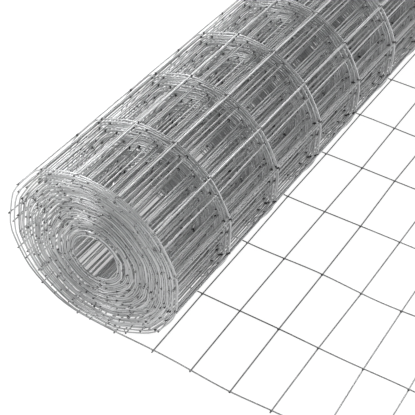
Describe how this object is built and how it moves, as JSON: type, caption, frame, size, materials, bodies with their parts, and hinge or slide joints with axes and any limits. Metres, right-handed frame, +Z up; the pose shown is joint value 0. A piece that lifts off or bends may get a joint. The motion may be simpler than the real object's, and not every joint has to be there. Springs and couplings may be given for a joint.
{
  "type": "roll of welded wire mesh fencing",
  "caption": "Roll of galvanised welded wire fencing on its side, an open bore through its coiled turns and its loose end of rectangular mesh rolled out flat.",
  "frame": {"origin": "middle of the footprint on the floor", "axes": "+Z up, +Y along the roll's axis, +X the way the loose end is rolled out"},
  "size_m": [0.5665, 0.9184, 0.2121],
  "materials": {
    "galvanised_wire": "galvanised, satin grey with darker welds and cut ends"
  },
  "bodies": {
    "root": {"wound_roll": "galvanised_wire", "loose_end": "galvanised_wire"}
  },
  "joints": []
}
